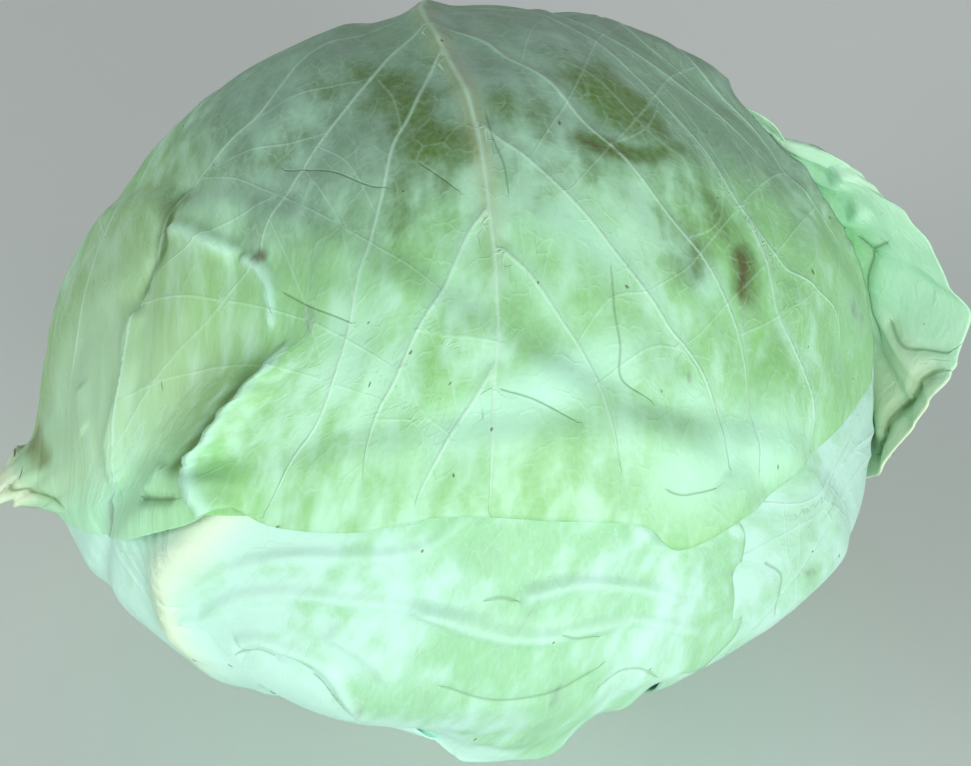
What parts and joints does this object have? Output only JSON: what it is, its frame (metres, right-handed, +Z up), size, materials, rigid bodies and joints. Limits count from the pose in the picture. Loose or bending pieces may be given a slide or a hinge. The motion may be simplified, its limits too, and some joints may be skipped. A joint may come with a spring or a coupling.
{
  "type": "head cabbage",
  "caption": "Whole head of smooth white-green cabbage standing on its cut stem, with large ribbed wrapper leaves round a dense heart and a leaf folded out at the side.",
  "frame": {"origin": "middle of the flat cut face of the stem, which the head stands on", "axes": "+Z up through the head to its crown, -Y towards the viewer of the picture, +X towards the folded-out leaf"},
  "size_m": [0.2357, 0.2036, 0.1772],
  "materials": {
    "stem_flesh": "matt, moist pale stem flesh",
    "heart_leaf": "smooth pale leaf",
    "inner_leaf": "smooth whitish green leaf with fine ribs",
    "wrapper_leaf": "waxy green leaf with a thin bloom"
  },
  "bodies": {
    "root": {"stem": "stem_flesh", "heart": "heart_leaf", "leaf_lower": "inner_leaf", "leaf_back_left": "wrapper_leaf", "leaf_right": "inner_leaf", "leaf_front": "inner_leaf", "leaf_right_back": "wrapper_leaf", "leaf_top": "wrapper_leaf"}
  },
  "joints": []
}
